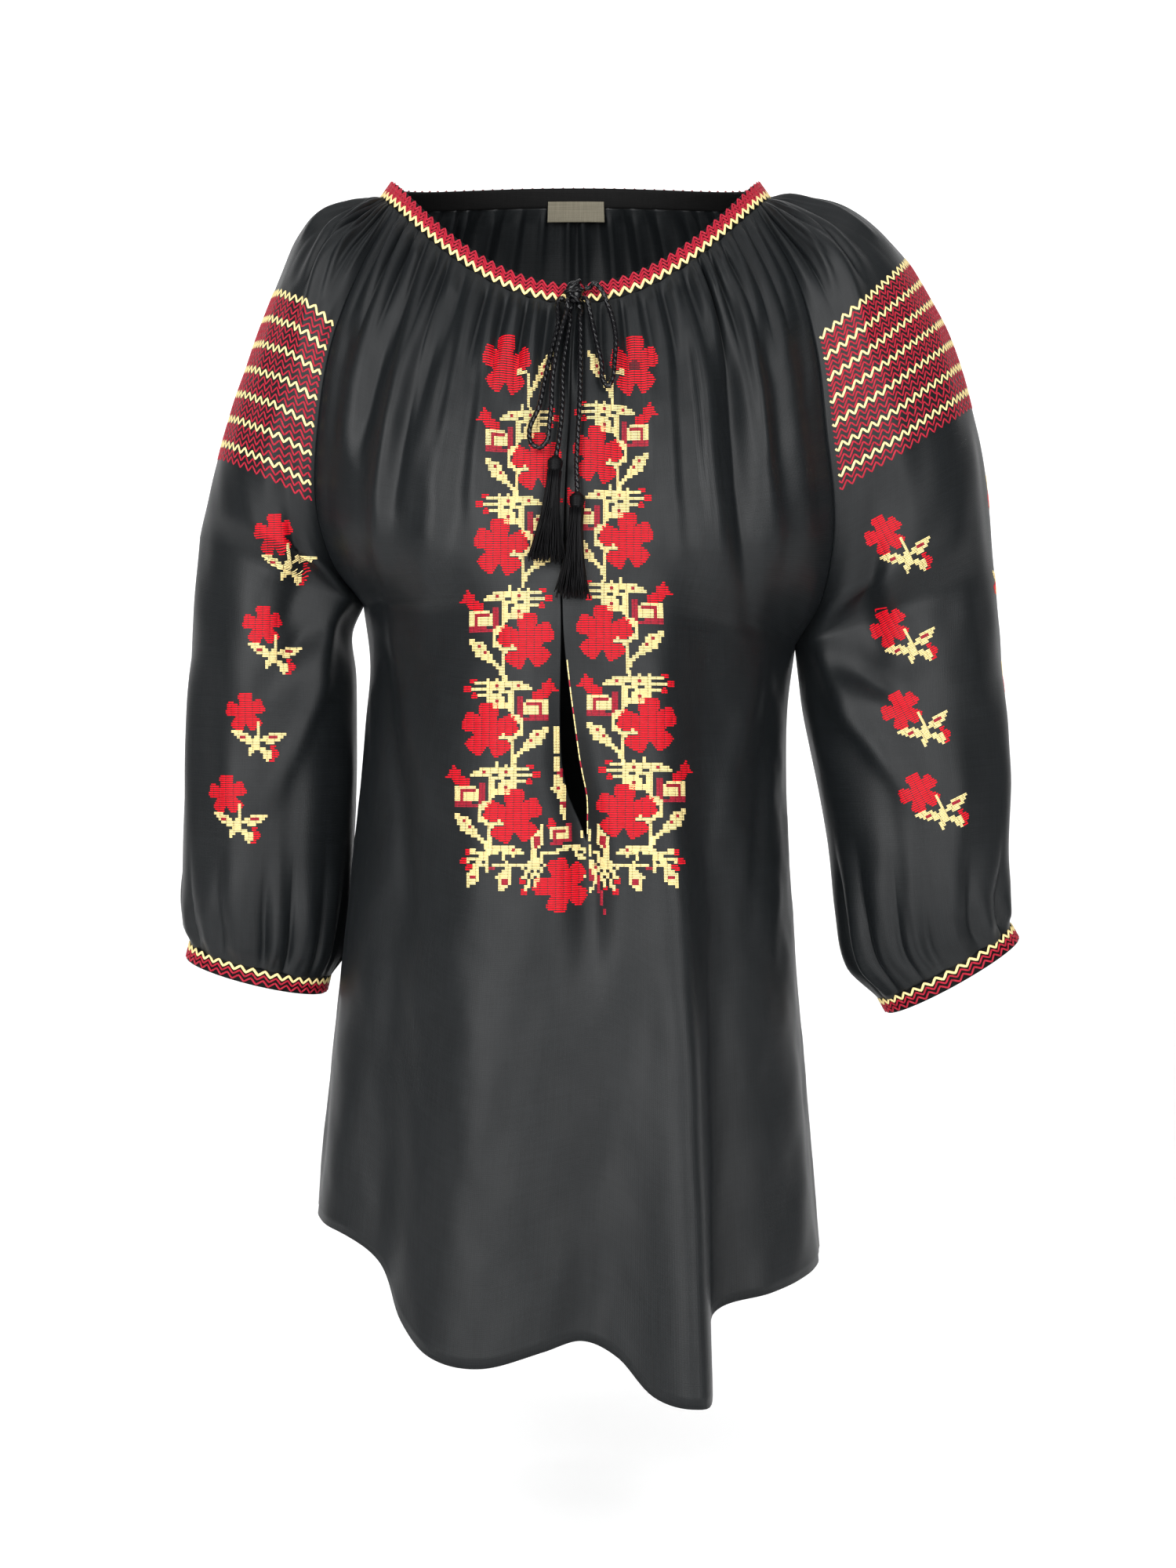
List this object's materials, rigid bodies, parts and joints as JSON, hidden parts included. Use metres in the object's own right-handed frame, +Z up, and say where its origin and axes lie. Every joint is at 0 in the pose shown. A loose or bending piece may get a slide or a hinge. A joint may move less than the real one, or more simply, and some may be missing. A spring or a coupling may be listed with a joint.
{
  "type": "dirndl blouse",
  "caption": "Long gathered folk blouse with raglan sleeves, tied centre slit, narrow neckband and cuffs and a curved hem, held open as if worn.",
  "frame": {"origin": "between the shoulders, just above the sides of the neckband, where the wearer's shoulders hold the blouse up", "axes": "+Z up, -Y towards the front of the blouse, +X towards the right as seen from the front"},
  "size_m": [0.5362, 0.2816, 0.7603],
  "materials": {
    "black_rayon": "soft satin",
    "band_embroidery": "satin stitched thread",
    "cord_black": "twisted satin cord",
    "label_beige": "woven tape",
    "thread_red": "satin stitched thread",
    "thread_crimson": "satin stitched thread",
    "thread_dark_red": "satin stitched thread",
    "thread_cream": "satin stitched thread"
  },
  "bodies": {
    "root": {"front": "black_rayon", "back": "black_rayon", "sleeve_left": "black_rayon", "sleeve_right": "black_rayon", "neckband": "band_embroidery", "cuff_left": "band_embroidery", "cuff_right": "band_embroidery", "label": "label_beige", "bow_knot": "cord_black", "cord_loop_left": "cord_black", "cord_loop_right": "cord_black", "cord_tail_left": "cord_black", "cord_tail_right": "cord_black", "tassel_left": "cord_black", "tassel_right": "cord_black"}
  },
  "joints": []
}
